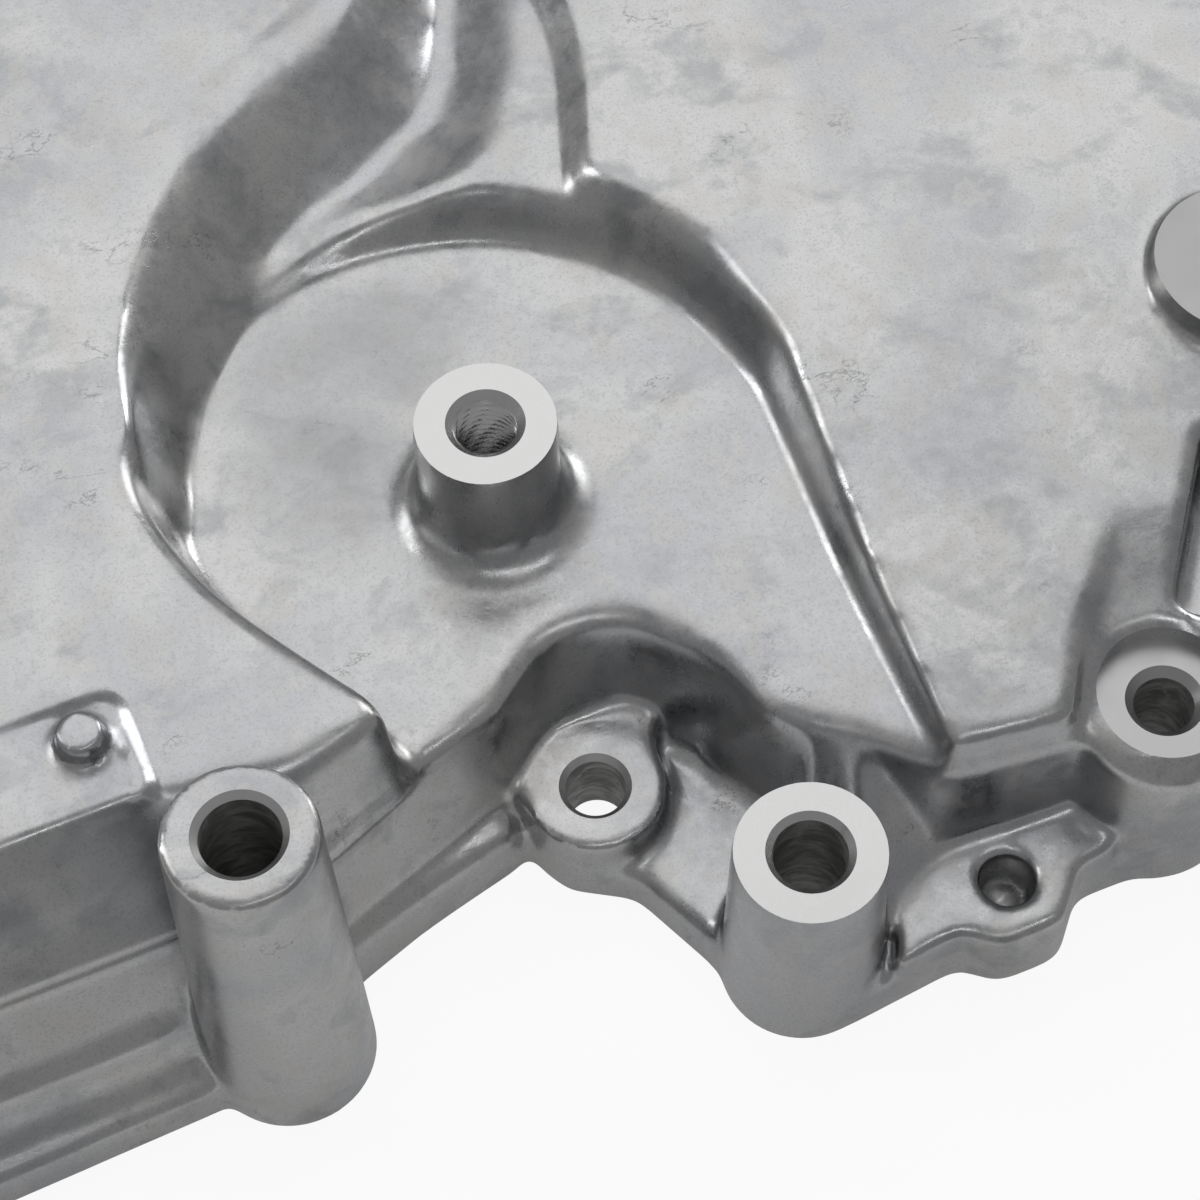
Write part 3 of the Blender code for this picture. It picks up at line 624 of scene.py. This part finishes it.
@dataclass
class ThreadCutter:
    """The tapped thread's helical cutter, made by a rule in Geometry Nodes."""

    seat: Seat
    major: float = 10.0
    minor: float = 8.75
    pitch: float = 1.25
    depth: float = 17.0
    sides: int = 72
    rows_per_turn: int = 8
    flank_slope: float = 1.35
    flank_start: float = -0.12
    above_face: float = 0.6
    name: str = "thread_cutter"
    tree_name: str = "thread_turns"

    def tree(self) -> bpy.types.NodeTree:
        """Build the node tree: a cylinder whose radius follows the thread's profile.

        Returns:
            The tree, with its sizes as named inputs.
        """
        tree = bpy.data.node_groups.new(self.tree_name, "GeometryNodeTree")
        face = tree.interface
        for name, kind in (
            ("Major Radius", "NodeSocketFloat"),
            ("Minor Radius", "NodeSocketFloat"),
            ("Pitch", "NodeSocketFloat"),
            ("Depth", "NodeSocketFloat"),
            ("Sides", "NodeSocketInt"),
            ("Rows", "NodeSocketInt"),
            ("Material", "NodeSocketMaterial"),
        ):
            face.new_socket(name, in_out="INPUT", socket_type=kind)
        face.new_socket("Geometry", in_out="OUTPUT", socket_type="NodeSocketGeometry")
        given = tree.nodes.new("NodeGroupInput")
        result = tree.nodes.new("NodeGroupOutput")
        link = tree.links.new

        def calc(operation: str, *values: object) -> bpy.types.NodeSocket:
            """Add a math node and return its output."""
            node = tree.nodes.new("ShaderNodeMath")
            node.operation = operation
            for socket, value in zip(node.inputs, values):
                if isinstance(value, bpy.types.NodeSocket):
                    link(value, socket)
                else:
                    socket.default_value = value
            return node.outputs[0]

        rod = tree.nodes.new("GeometryNodeMeshCylinder")
        rod.fill_type = "NGON"
        link(given.outputs["Sides"], rod.inputs["Vertices"])
        link(given.outputs["Rows"], rod.inputs["Side Segments"])
        link(given.outputs["Minor Radius"], rod.inputs["Radius"])
        link(given.outputs["Depth"], rod.inputs["Depth"])
        where = tree.nodes.new("GeometryNodeInputPosition")
        split = tree.nodes.new("ShaderNodeSeparateXYZ")
        link(where.outputs[0], split.inputs[0])
        angle = calc("ARCTAN2", split.outputs["Y"], split.outputs["X"])
        turns = calc("DIVIDE", split.outputs["Z"], given.outputs["Pitch"])
        phase = calc("FRACT", calc("SUBTRACT", turns, calc("DIVIDE", angle, 2 * math.pi)))
        ridge = calc("ABSOLUTE", calc("SUBTRACT", calc("MULTIPLY", phase, 2.0), 1.0))
        flank = calc("MULTIPLY_ADD", ridge, self.flank_slope, self.flank_start)
        flank = calc("MINIMUM", calc("MAXIMUM", flank, 0.0), 1.0)
        span = calc("SUBTRACT", given.outputs["Major Radius"], given.outputs["Minor Radius"])
        wanted = calc("MULTIPLY_ADD", flank, span, given.outputs["Minor Radius"])
        factor = calc("DIVIDE", wanted, given.outputs["Minor Radius"])
        join = tree.nodes.new("ShaderNodeCombineXYZ")
        link(calc("MULTIPLY", split.outputs["X"], factor), join.inputs["X"])
        link(calc("MULTIPLY", split.outputs["Y"], factor), join.inputs["Y"])
        link(split.outputs["Z"], join.inputs["Z"])
        move = tree.nodes.new("GeometryNodeSetPosition")
        link(rod.outputs["Mesh"], move.inputs["Geometry"])
        link(join.outputs[0], move.inputs["Position"])
        real = tree.nodes.new("GeometryNodeRealizeInstances")
        link(move.outputs[0], real.inputs[0])
        paint = tree.nodes.new("GeometryNodeSetMaterial")
        link(real.outputs[0], paint.inputs["Geometry"])
        link(given.outputs["Material"], paint.inputs["Material"])
        link(paint.outputs[0], result.inputs["Geometry"])
        return tree

    def build(self, material: bpy.types.Material) -> bpy.types.Object:
        """Make the cutter as a plain mesh at the thread's place.

        Args:
            material: the thread's material.

        Returns:
            The cutter.
        """
        item = new_object(self.name, bpy.data.meshes.new(self.name))
        modifier = item.modifiers.new("Thread", "NODES")
        modifier.node_group = self.tree()
        turns = round(self.depth / self.pitch)
        values = {
            "Major Radius": self.major / 2 * MM,
            "Minor Radius": self.minor / 2 * MM,
            "Pitch": self.pitch * MM,
            "Depth": self.depth * MM,
            "Sides": self.sides,
            "Rows": turns * self.rows_per_turn,
            "Material": material,
        }
        for socket in modifier.node_group.interface.items_tree:
            if socket.name in values:
                modifier[socket.identifier] = values[socket.name]
        mesh = baked(item)
        middle = (self.seat.top + self.above_face - self.depth / 2) * MM
        mesh.transform(Matrix.Translation(self.seat.axis + Vector((0.0, 0.0, middle))))
        return item


def beside(points: np.ndarray, line: tuple[Place, ...]) -> np.ndarray:
    """Measure how far points lie to the right of a line of corners.

    Args:
        points: places in plan, in millimetres.
        line: the corners.

    Returns:
        The distance of each point, negative on the left.
    """
    nearest = np.full(len(points), np.inf)
    side = np.zeros(len(points))
    for start, end in zip(line, line[1:]):
        base = np.array(start)
        run = np.array(end) - base
        along = ((points - base) @ run) / (run @ run)
        gap = np.hypot(*(points - base - np.clip(along, 0.0, 1.0)[:, None] * run).T)
        cross = run[1] * (points[:, 0] - base[0]) - run[0] * (points[:, 1] - base[1])
        closer = gap < nearest
        nearest = np.where(closer, gap, nearest)
        side = np.where(closer, np.sign(cross), side)
    return nearest * side


@dataclass(frozen=True)
class BeltValley:
    """The valley's true form: the left panel's rim, the crease and the shelf's ridge.

    Lines run from the photograph's lower side to the back, in millimetres from the pulley axis.
    """

    rim: tuple[Place, ...] = (
        (-38.5, -18.0), (-44.0, -4.5), (-46.8, 9.0), (-47.2, 22.0), (-45.0, 35.0), (-40.4, 47.0),
        (-33.4, 57.8), (-22.5, 69.8), (-5.0, 80.0), (9.0, 86.4), (19.0, 95.0), (25.0, 112.0),
        (28.0, 131.0),
    )
    crease: tuple[Place, ...] = (
        (-36.6, -18.0), (-41.8, -4.0), (-43.6, 9.0), (-41.2, 21.5), (-34.5, 33.5), (-26.0, 43.0),
        (-15.8, 52.0), (-5.0, 58.2), (5.5, 61.5), (15.5, 67.0), (22.0, 76.5), (27.5, 92.0),
        (31.0, 108.0), (34.0, 131.0),
    )
    floor: float = 30.6
    panel: float = 43.6
    panel_tilt: float = -0.034
    shelf: float = 36.0
    shelf_tilt: float = 0.09
    crease_low: float = 31.0
    crease_rise: float = 1.3
    rise_front: float = 18.0
    rise_length: float = 35.0
    ease: float = 0.4
    slope: float = 0.45
    ridge: float = 38.2
    front: tuple[float, float] = (12.0, 24.0)
    back: tuple[float, float] = (108.0, 124.0)
    left: float = -58.0
    right: float = 47.0
    rim_margin: float = 6.0
    least_upward: float = 0.02
    above_floor: float = 0.1
    above_panel: float = 1.0

    def shape(self, local: np.ndarray, upward: np.ndarray) -> np.ndarray:
        """Work out the new heights of the skin in the valley.

        Args:
            local: the skin's points in millimetres from the pulley axis.
            upward: the height part of each point's normal.

        Returns:
            The new heights.
        """
        x, y, z = local.T
        panel = self.panel + self.panel_tilt * x
        shelf = self.shelf + self.shelf_tilt * x
        rise = np.clip((y - self.rise_front) / self.rise_length, 0.0, 1.0)
        low = self.crease_low + self.crease_rise * rise
        from_rim = beside(local[:, :2], self.rim)
        from_crease = beside(local[:, :2], self.crease)
        share = np.clip(from_rim / np.maximum(from_rim - from_crease, 0.01), 0.0, 1.0)
        smooth = share * share * (3.0 - 2.0 * share)
        share = smooth * self.ease + share * (1.0 - self.ease)
        slide = panel - (panel - low) * share
        top = np.minimum(low + self.slope * from_crease, self.ridge)
        wall = self.floor + (z - self.floor) * (top - self.floor) / (shelf - self.floor)
        above = np.clip((panel - z) / (panel - shelf), 0.0, 1.0)
        bank = np.where(z <= shelf, wall, z + (top - shelf) * above)
        wanted = np.where(from_rim <= 0.0, panel, np.where(from_crease < 0.0, slide, bank))
        weight = np.clip((y - self.front[0]) / (self.front[1] - self.front[0]), 0.0, 1.0)
        weight *= np.clip((self.back[1] - y) / (self.back[1] - self.back[0]), 0.0, 1.0)
        inside = (from_rim > -self.rim_margin) & (x > self.left) & (x < self.right)
        inside &= (y > self.front[0]) & (upward > self.least_upward)
        inside &= (z > self.floor + self.above_floor) & (z < panel + self.above_panel)
        return np.where(inside, z + (wanted - z) * weight, z)


@dataclass(frozen=True)
class WindowFloor:
    """The plate that closes the bracket arm's window below, in millimetres."""

    place: Place = (98.7, -49.4)
    turn: float = math.radians(53.95)
    length: float = 31.6
    width: float = 15.6
    bottom: float = 16.0
    top: float = 26.3

    def fill(self, work: bmesh.types.BMesh) -> None:
        """Add the plate.

        Args:
            work: the bmesh.
        """
        height = self.top - self.bottom
        middle = (self.top + self.bottom) / 2 * MM
        plate = bmesh.ops.create_cube(work, size=MM)["verts"]
        for vertex in plate:
            x, y, z = vertex.co
            vertex.co = Vector((x * self.length, y * self.width, z * height + middle))
        place = PULLEY_AXIS + Vector((*self.place, 0.0)) * MM
        turn = Matrix.Rotation(self.turn, 4, "Z")
        bmesh.ops.transform(work, matrix=Matrix.Translation(place) @ turn, verts=plate)


@dataclass(frozen=True)
class CrispPlace:
    """A place whose edges stay crisper: its middle, radius and lowest height."""

    place: Place
    radius: float
    low: float


@dataclass
class Casting:
    """The one-piece cover: a softened casting skin with its machined places."""

    node: str = "timing_cover"
    name: str = "cover_casting"
    voxel: float = 0.75 * MM
    rounds: int = 14
    valley_rounds: int = 16
    pocket_rounds: int = 12
    budget: int = 170_000
    proud: float = 2.4
    sharp_angle: float = math.radians(33.0)
    merge_distance: float = 0.002 * MM
    gasket_zone: float = 0.01 * MM
    gasket_extra: float = 3.0 * MM
    gasket_block: tuple[float, float] = (800.0, 20.0)
    pull: float = 0.5
    crisp_share: float = 0.25
    pocket_low: float = 29.5
    pocket_half_width: float = 62.0
    pocket_front: float = -34.0
    boss_foot: float = 13.0
    valley_front: float = 16.0
    valley_heights: tuple[float, float] = (31.5, 42.0)
    wall_margin: float = 0.15
    tip_depth: float = 5.0
    chamfer_margin: float = 0.05
    chamfer_heights: tuple[float, float] = (2.0, 0.6)
    chamfer_upward: tuple[float, float] = (0.55, 0.85)
    level_margin: float = 0.02
    level_upward: float = 0.99
    seats: tuple[Seat, ...] = (
        Seat("pulley", (0.0, 0.0), 21.3, 51.4, 8.75, 11.7, 32.9, True, threaded=True,
             facing=Facing.BRIGHT),
        Seat("centre", (17.8, -75.1), 22.1, 38.0, 10.7, 12.7, faced=True, facing=Facing.BRIGHT),
        Seat("tall", (-56.1, -57.8), 21.3, 70.8, 11.0, 13.0),
        Seat("bolt", (-1.3, -42.5), 21.0, 13.8, 9.0, 10.9),
        Seat("arm", (77.0, -69.5), 27.8, 29.0, 8.9, 11.6, faced=True, face_diameter=20.5,
             facing=Facing.SPOT),
        Seat("arm_end", (118.5, -12.5), 27.8, 42.5, 8.9, 11.4, faced=True, facing=Facing.DULL),
    )
    window_floor: WindowFloor = WindowFloor()
    crisp_places: tuple[CrispPlace, ...] = (
        CrispPlace((-56.1, -57.8), 12.5, 67.0),
        CrispPlace((-69.8, -24.3), 4.6, 47.6),
        CrispPlace((-1.3, -42.5), 11.5, 11.5),
    )
    marks: tuple[Mark, ...] = (
        Mark(((-58.0, 54.0), (-49.6, 49.3), (-41.5, 45.2)), 0.16, 0.9, 40.0),
        Mark(((-70.5, 30.0), (-68.3, 20.0), (-66.1, 8.0), (-63.9, -3.7), (-63.1, -14.7),
              (-64.5, -24.0)), 0.5, 3.2, 40.0, True),
    )

    def source(self) -> bpy.types.Object:
        """Copy the CAD node with its loose triangles merged and its gasket side lengthened.

        Returns:
            The copy.
        """
        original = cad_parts[self.node]
        mesh = original.data.copy()
        work = bmesh.new()
        work.from_mesh(mesh)
        bmesh.ops.remove_doubles(work, verts=work.verts, dist=self.merge_distance)
        for vertex in work.verts:
            if vertex.co.z < self.gasket_zone:
                vertex.co.z = -self.gasket_extra
        work.to_mesh(mesh)
        work.free()
        return new_object(self.name, mesh)

    def tool(self, name: str, work: bmesh.types.BMesh) -> bpy.types.Object:
        """Turn a bmesh into an object for a Boolean.

        Args:
            name: the object's name.
            work: the bmesh, which is freed.

        Returns:
            The object.
        """
        mesh = bpy.data.meshes.new(name)
        work.to_mesh(mesh)
        work.free()
        return new_object(name, mesh)

    def plugs(self) -> bpy.types.Object:
        """Make the plugs that fill the CAD's drilled holes and the window's plate."""
        work = bmesh.new()
        for seat in self.seats:
            seat.fill(work, self.proud)
        self.window_floor.fill(work)
        return self.tool("plugs", work)

    def cutters(self) -> bpy.types.Object:
        """Make the machining cutters of all the seats."""
        work = bmesh.new()
        for seat in self.seats:
            seat.cut(work)
        return self.tool("cutters", work)

    def gasket_cutter(self) -> bpy.types.Object:
        """Make the block whose top cuts the gasket side flat."""
        work = bmesh.new()
        side, depth = self.gasket_block
        for vertex in bmesh.ops.create_cube(work, size=MM)["verts"]:
            vertex.co.x *= side
            vertex.co.y *= side
            vertex.co.z = (vertex.co.z - MM / 2) * depth
        return self.tool("gasket_cutter", work)

    def boolean(self, item: bpy.types.Object, tool: bpy.types.Object, operation: str) -> None:
        """Apply a Boolean and remove the tool.

        Args:
            item: the object to change.
            tool: the other object.
            operation: UNION or DIFFERENCE.
        """
        modifier = item.modifiers.new("Boolean", "BOOLEAN")
        modifier.operation = operation
        modifier.solver = "MANIFOLD"
        modifier.object = tool
        baked(item)
        bpy.data.objects.remove(tool)

    def remesh(self, item: bpy.types.Object) -> None:
        """Turn the object into an even skin of small quads."""
        modifier = item.modifiers.new("Skin", "REMESH")
        modifier.mode = "VOXEL"
        modifier.voxel_size = self.voxel
        modifier.adaptivity = 0.0
        baked(item)

    def soften(self, item: bpy.types.Object) -> None:
        """Round every edge as a casting's are, with an extra share in the belt valley.

        Args:
            item: the object with an even skin.
        """
        mesh = item.data
        count = len(mesh.vertices)
        co = np.empty(count * 3)
        mesh.vertices.foreach_get("co", co)
        co = co.reshape(-1, 3)
        edges = np.empty(len(mesh.edges) * 2, dtype=np.int64)
        mesh.edges.foreach_get("vertices", edges)
        one, two = edges.reshape(-1, 2).T
        degree = np.bincount(one, minlength=count) + np.bincount(two, minlength=count)
        local = (co - np.array(PULLEY_AXIS)) / MM
        upward = np.empty(count * 3)
        mesh.vertices.foreach_get("normal", upward)
        co[:, 2] = BeltValley().shape(local, upward.reshape(-1, 3)[:, 2]) * MM
        local[:, 2] = co[:, 2] / MM
        extra, weight = self.rounding(local)
        for turn in range(self.rounds + self.valley_rounds):
            late = turn - self.rounds
            step = weight if late < 0 else np.where(extra > late, self.pull, 0.0)
            total = np.empty_like(co)
            for k in range(3):
                total[:, k] = np.bincount(one, co[two, k], count)
                total[:, k] += np.bincount(two, co[one, k], count)
            co += (total / degree[:, None] - co) * step[:, None]
        self.engrave(co)
        mesh.vertices.foreach_set("co", co.ravel())
        mesh.update()

    def rounding(self, local: np.ndarray) -> tuple[np.ndarray, np.ndarray]:
        """Work out where the skin gets extra rounds and where it stays crisper.

        Args:
            local: the skin's points in millimetres from the pulley axis.

        Returns:
            Each point's extra rounds, and its share in the usual ones.
        """
        x, y, z = local.T
        low, high = self.valley_heights
        pocket = (z > self.pocket_low) & (np.abs(x) < self.pocket_half_width)
        pocket &= np.hypot(x, y) > self.boss_foot
        valley = pocket & (y > self.valley_front) & (z > low) & (z < high)
        extra = np.where(valley, self.valley_rounds, np.where(pocket, self.pocket_rounds, 0))
        extra[y < self.pocket_front] = 0
        crisp = np.ones(len(local))
        for spot in self.crisp_places:
            away = np.hypot(x - spot.place[0], y - spot.place[1])
            crisp[(away < spot.radius) & (z > spot.low)] = self.crisp_share
        return extra, crisp * self.pull

    def engrave(self, co: np.ndarray) -> None:
        """Press the casting's shallow grooves and steps into its upper faces.

        Args:
            co: the skin's points in metres, which are moved.
        """
        local = (co - np.array(PULLEY_AXIS)) / MM
        for mark in self.marks:
            distance = -beside(local[:, :2], mark.line)
            nearest = np.abs(distance)
            inside = (local[:, 2] > mark.floor) & (nearest < 4 * mark.width)
            if mark.step:
                shape = 0.5 * (1.0 + np.tanh(distance / mark.width))
                shape *= np.clip((4 * mark.width - nearest) / (2 * mark.width), 0.0, 1.0)
            else:
                shape = np.exp(-((nearest / mark.width) ** 2))
            co[:, 2] -= np.where(inside, mark.depth * shape, 0.0) * MM

    def thin(self, item: bpy.types.Object) -> None:
        """Reduce the skin to the triangle budget."""
        triangles = sum(len(face.vertices) - 2 for face in item.data.polygons)
        modifier = item.modifiers.new("Thin", "DECIMATE")
        modifier.ratio = min(1.0, self.budget / triangles)
        baked(item)

    def dress(self, item: bpy.types.Object, finishes: list[bpy.types.Material]) -> None:
        """Give each face its material by where it lies, and mark the crisp edges.

        Args:
            item: the finished casting.
            finishes: the materials: cast, drilled, tapped, then one for each seat.
        """
        mesh = item.data
        mesh.materials.clear()
        for material in finishes:
            mesh.materials.append(material)
        count = len(mesh.polygons)
        middle = np.empty(count * 3)
        normal = np.empty(count * 3)
        mesh.polygons.foreach_get("center", middle)
        mesh.polygons.foreach_get("normal", normal)
        x, y, z = ((middle.reshape(-1, 3) - np.array(PULLEY_AXIS)) / MM).T
        upward = normal.reshape(-1, 3)[:, 2]
        index = np.full(count, Surface.CAST.value, dtype=np.int32)
        for i, seat in enumerate(self.seats):
            own = Surface.SEATS.value + i
            away = np.hypot(x - seat.place[0], y - seat.place[1])
            bore = (ThreadCutter.major if seat.threaded else seat.bore) / 2 + self.wall_margin
            wall = (away < bore) & (z > seat.bottom - self.tip_depth) & (z < seat.top)
            index[wall] = Surface.TAPPED.value if seat.threaded else Surface.DRILLED.value
            mouth = (away < seat.chamfer / 2 + self.chamfer_margin)
            mouth &= (away > seat.bore / 2 + self.chamfer_margin)
            mouth &= (z < seat.top + self.chamfer_heights[1])
            mouth &= (z > seat.top - self.chamfer_heights[0])
            mouth &= (upward > self.chamfer_upward[0]) & (upward < self.chamfer_upward[1])
            index[mouth] = own
            if seat.faced:
                level = (np.abs(z - seat.top) < self.level_margin) & (upward > self.level_upward)
                index[(away < seat.face_radius) & level] = own
        base = (np.abs(z) < self.level_margin) & (upward < -self.level_upward)
        index[base] = Surface.SEATS.value
        mesh.polygons.foreach_set("material_index", index)
        mesh.shade_smooth()
        mesh.set_sharp_from_angle(angle=self.sharp_angle)
        mesh.update()

    def build(self) -> bpy.types.Object:
        """Build the casting and hand it to the frame.

        Returns:
            The casting.
        """
        cast = CastFinish().material()
        drilled = DrilledFinish().material()
        tapped = TurnedFinish("tapped_thread", (0.0, 0.0), Facing.TAPPED).material()
        turned = [
            TurnedFinish(f"machined_{seat.name}", seat.place, seat.facing).material()
            for seat in self.seats
        ]
        item = self.source()
        self.boolean(item, self.plugs(), "UNION")
        self.remesh(item)
        self.soften(item)
        self.thin(item)
        self.boolean(item, self.cutters(), "DIFFERENCE")
        self.boolean(item, self.gasket_cutter(), "DIFFERENCE")
        for seat in self.seats:
            if seat.threaded:
                self.boolean(item, ThreadCutter(seat).build(tapped), "DIFFERENCE")
        self.dress(item, [cast, drilled, tapped, *turned])
        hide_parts(self.node)
        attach(item, "root")
        return item


@dataclass(frozen=True)
class Softbox:
    """A rectangular soft light: where it stands from the cover, its size and its radiance."""

    name: str
    direction: tuple[float, float, float]
    distance: float
    size: tuple[float, float]
    level: float

    def build(self) -> None:
        """Add the light, facing the cover."""
        width, height = self.size
        data = bpy.data.lights.new(self.name, "AREA")
        data.shape = "RECTANGLE"
        data.size = width
        data.size_y = height
        data.energy = self.level * math.pi * width * height
        item = bpy.data.objects.new(self.name, data)
        bpy.context.scene.collection.objects.link(item)
        toward = Vector(self.direction).normalized()
        item.location = toward * self.distance
        item.rotation_euler = toward.to_track_quat("Z", "Y").to_euler()


@dataclass
class Studio:
    """The floor, the soft lights and the camera."""

    camera_place: tuple[float, float, float] = (-79.6, -248.3, 451.0)
    camera_forward: tuple[float, float, float] = (0.1808, 0.4653, -0.8665)
    camera_right: tuple[float, float, float] = (0.9218, -0.3875, -0.0158)
    lens: float = 99.0
    sensor: float = 36.0
    nearest: float = 0.01
    floor_size: float = 8.0
    floor_height: float = -0.3 * MM
    floor_colour: Colour = (0.86, 0.86, 0.86)
    floor_roughness: float = 0.9
    floor_white: float = 0.92
    floor_mirrored: float = 0.20
    surroundings: Colour = (0.305, 0.305, 0.308)
    softboxes: tuple[Softbox, ...] = (
        Softbox("softbox_back", (0.15, 0.52, 0.84), 1.5, (1.5, 1.3), 1.0),
        Softbox("strip_left", (-0.58, 0.46, 0.66), 1.3, (0.24, 0.8), 3.6),
        Softbox("strip_right", (0.80, 0.45, 0.40), 1.3, (0.30, 0.7), 4.2),
        Softbox("strip_front", (0.08, -0.36, 0.92), 1.4, (0.9, 0.08), 4.5),
    )

    def camera(self) -> None:
        """Place the camera at the photograph's angle."""
        forward = Vector(self.camera_forward).normalized()
        right = Vector(self.camera_right)
        right = (right - right.dot(forward) * forward).normalized()
        up = right.cross(forward)
        place = PULLEY_AXIS + Vector(self.camera_place) * MM
        data = bpy.data.cameras.new("camera")
        data.lens = self.lens
        data.sensor_width = self.sensor
        data.clip_start = self.nearest
        item = bpy.data.objects.new("camera", data)
        item.matrix_world = Matrix((
            (right.x, up.x, -forward.x, place.x),
            (right.y, up.y, -forward.y, place.y),
            (right.z, up.z, -forward.z, place.z),
            (0.0, 0.0, 0.0, 1.0),
        ))
        bpy.context.scene.collection.objects.link(item)
        bpy.context.scene.camera = item

    def floor(self) -> None:
        """Lay the floor, which the camera and mirrored rays see pale, and which keeps shadows."""
        place = (0.0, 0.0, self.floor_height)
        bpy.ops.mesh.primitive_plane_add(size=self.floor_size, location=place)
        plane = bpy.context.object
        plane.name = "floor"
        web = NodeWeb("floor_pale")
        web.feed(web.shader.inputs["Base Color"], self.floor_colour)
        web.shader.inputs["Roughness"].default_value = self.floor_roughness
        web.shader.inputs["Specular IOR Level"].default_value = 0.0
        path = web.add("ShaderNodeLightPath")
        mirrored = web.math(
            "MAXIMUM", path.outputs["Is Glossy Ray"], path.outputs["Is Transmission Ray"]
        )
        mirrored = web.math("MULTIPLY", mirrored, self.floor_mirrored)
        seen = web.math("MULTIPLY_ADD", path.outputs["Is Camera Ray"], self.floor_white, mirrored)
        glow = web.add("ShaderNodeEmission")
        glow.inputs["Color"].default_value = (1.0, 1.0, 1.0, 1.0)
        glow.inputs["Strength"].default_value = 1.0
        blend = web.add("ShaderNodeMixShader")
        web.link(seen, blend.inputs["Fac"])
        web.link(web.shader.outputs[0], blend.inputs[1])
        web.link(glow.outputs[0], blend.inputs[2])
        web.link(blend.outputs[0], web.tree.nodes["Material Output"].inputs["Surface"])
        plane.data.materials.append(web.material)

    def lights(self) -> None:
        """Set the soft lights and the dim surroundings."""
        for softbox in self.softboxes:
            softbox.build()
        world = bpy.data.worlds.new("surroundings")
        world.use_nodes = True
        shade = world.node_tree.nodes["Background"]
        shade.inputs["Color"].default_value = (*self.surroundings, 1.0)
        shade.inputs["Strength"].default_value = 1.0
        bpy.context.scene.world = world

    def build(self) -> None:
        """Set up the whole studio."""
        bpy.context.scene.view_settings.view_transform = "Standard"
        self.camera()
        self.floor()
        self.lights()


def main() -> None:
    """Build the cover and its studio, and report the casting's triangle count."""
    logging.basicConfig(level=logging.INFO, format="%(message)s")
    casting = Casting().build()
    triangles = sum(len(face.vertices) - 2 for face in casting.data.polygons)
    LOG.info("%s: %d triangles", casting.name, triangles)
    Studio().build()


if __name__ == "__main__":
    main()
